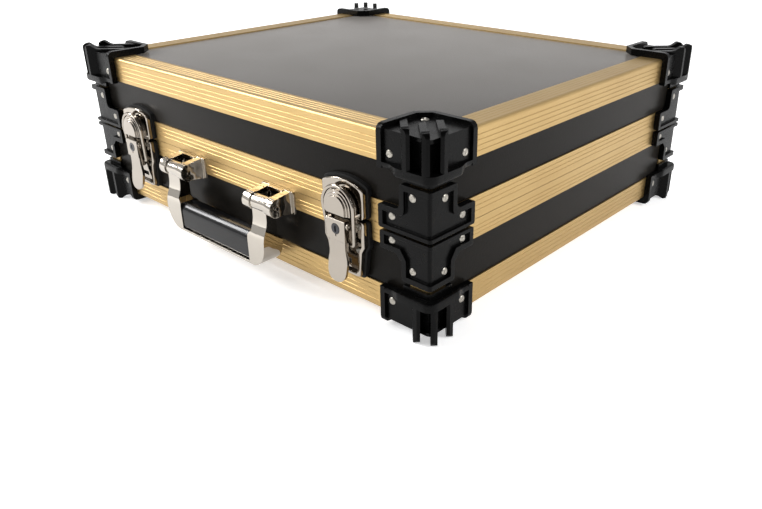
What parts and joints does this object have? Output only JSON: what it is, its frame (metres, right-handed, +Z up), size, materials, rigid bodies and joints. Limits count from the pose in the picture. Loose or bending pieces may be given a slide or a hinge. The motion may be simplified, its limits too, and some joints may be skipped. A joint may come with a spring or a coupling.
{
  "type": "stackable case",
  "caption": "Low rectangular case with a hinged lid, locking draw latches, a drop handle, metal-framed panels and finned corners that interlock when stacked.",
  "frame": {"origin": "middle of the whole outline in plan, on the surface that the corner noses stand on", "axes": "+X to the case's right seen from the front, +Y to the back where the hinges are, +Z up"},
  "size_m": [0.468, 0.4204, 0.1605],
  "materials": {
    "laminate": "matt black plastic laminate on plywood",
    "extrusion": "satin champagne gold anodised",
    "moulding": "satin black moulded",
    "chrome": "polished plate on steel and zinc",
    "rubber": "matt black",
    "grip": "satin black",
    "lock": "dark satin",
    "foam": "dark grey felt on foam"
  },
  "bodies": {
    "base": {"base_front_panel": "laminate", "base_back_panel": "laminate", "base_left_panel": "laminate", "base_right_panel": "laminate", "base_lining": "foam", "base_edge_frame": "extrusion", "base_rim_frame": "extrusion", "base_corner_front_right": "moulding", "base_bracket_front_right": "moulding", "base_corner_front_left": "moulding", "base_bracket_front_left": "moulding", "base_corner_back_right": "moulding", "base_bracket_back_right": "moulding", "base_corner_back_left": "moulding", "base_bracket_back_left": "moulding", "base_bottom_panel": "laminate", "latch_left_strike_pad": "rubber", "latch_left_strike": "chrome", "handle_bracket_left": "chrome", "handle_pin_left": "chrome", "hinge_left_base_leaf": "chrome", "hinge_left_pin": "chrome", "latch_right_strike_pad": "rubber", "latch_right_strike": "chrome", "handle_bracket_right": "chrome", "handle_pin_right": "chrome", "hinge_right_base_leaf": "chrome", "hinge_right_pin": "chrome"},
    "lid": {"lid_front_panel": "laminate", "lid_back_panel": "laminate", "lid_left_panel": "laminate", "lid_right_panel": "laminate", "lid_lining": "foam", "lid_edge_frame": "extrusion", "lid_rim_frame": "extrusion", "lid_corner_front_right": "moulding", "lid_bracket_front_right": "moulding", "lid_corner_front_left": "moulding", "lid_bracket_front_left": "moulding", "lid_corner_back_right": "moulding", "lid_bracket_back_right": "moulding", "lid_corner_back_left": "moulding", "lid_bracket_back_left": "moulding", "lid_top_panel": "laminate", "latch_left_catch_pad": "rubber", "latch_left_catch": "chrome", "latch_right_catch_pad": "rubber", "latch_right_catch": "chrome", "hinge_left_lid_leaf": "chrome", "hinge_right_lid_leaf": "chrome"},
    "handle": {"handle_loop": "chrome", "handle_grip": "grip"},
    "lever_left": {"latch_left_lever": "chrome"},
    "bail_left": {"latch_left_bail": "chrome"},
    "lock_left": {"latch_left_lock_plug": "lock"},
    "lever_right": {"latch_right_lever": "chrome"},
    "bail_right": {"latch_right_bail": "chrome"},
    "lock_right": {"latch_right_lock_plug": "lock"}
  },
  "joints": [
    {"name": "lid_hinge", "type": "hinge", "parent": "base", "child": "lid", "pos_m": [0, 0.20655, 0.08096], "axis": [-1, 0, 0], "range_deg": [0, 100]},
    {"name": "handle_swing", "type": "hinge", "parent": "base", "child": "handle", "pos_m": [0, -0.19985, 0.07046], "axis": [-1, 0, 0], "range_deg": [0, 100]},
    {"name": "latch_left", "type": "hinge", "parent": "base", "child": "lever_left", "pos_m": [-0.146, -0.19385, 0.07596], "axis": [-1, 0, 0], "range_deg": [0, 120]},
    {"name": "bail_left", "type": "hinge", "parent": "lever_left", "child": "bail_left", "pos_m": [-0.146, -0.19225, 0.05946], "axis": [-1, 0, 0], "range_deg": [-180, 0]},
    {"name": "lock_left", "type": "hinge", "parent": "lever_left", "child": "lock_left", "pos_m": [-0.146, -0.19785, 0.07236], "axis": [0, -1, 0], "range_deg": [0, 90]},
    {"name": "latch_right", "type": "hinge", "parent": "base", "child": "lever_right", "pos_m": [0.146, -0.19385, 0.07596], "axis": [-1, 0, 0], "range_deg": [0, 120]},
    {"name": "bail_right", "type": "hinge", "parent": "lever_right", "child": "bail_right", "pos_m": [0.146, -0.19225, 0.05946], "axis": [-1, 0, 0], "range_deg": [-180, 0]},
    {"name": "lock_right", "type": "hinge", "parent": "lever_right", "child": "lock_right", "pos_m": [0.146, -0.19785, 0.07236], "axis": [0, -1, 0], "range_deg": [0, 90]}
  ],
  "couplings": [
    {"joint": "bail_left", "follows": "latch_left", "ratio": -1.5},
    {"joint": "bail_right", "follows": "latch_right", "ratio": -1.5}
  ]
}
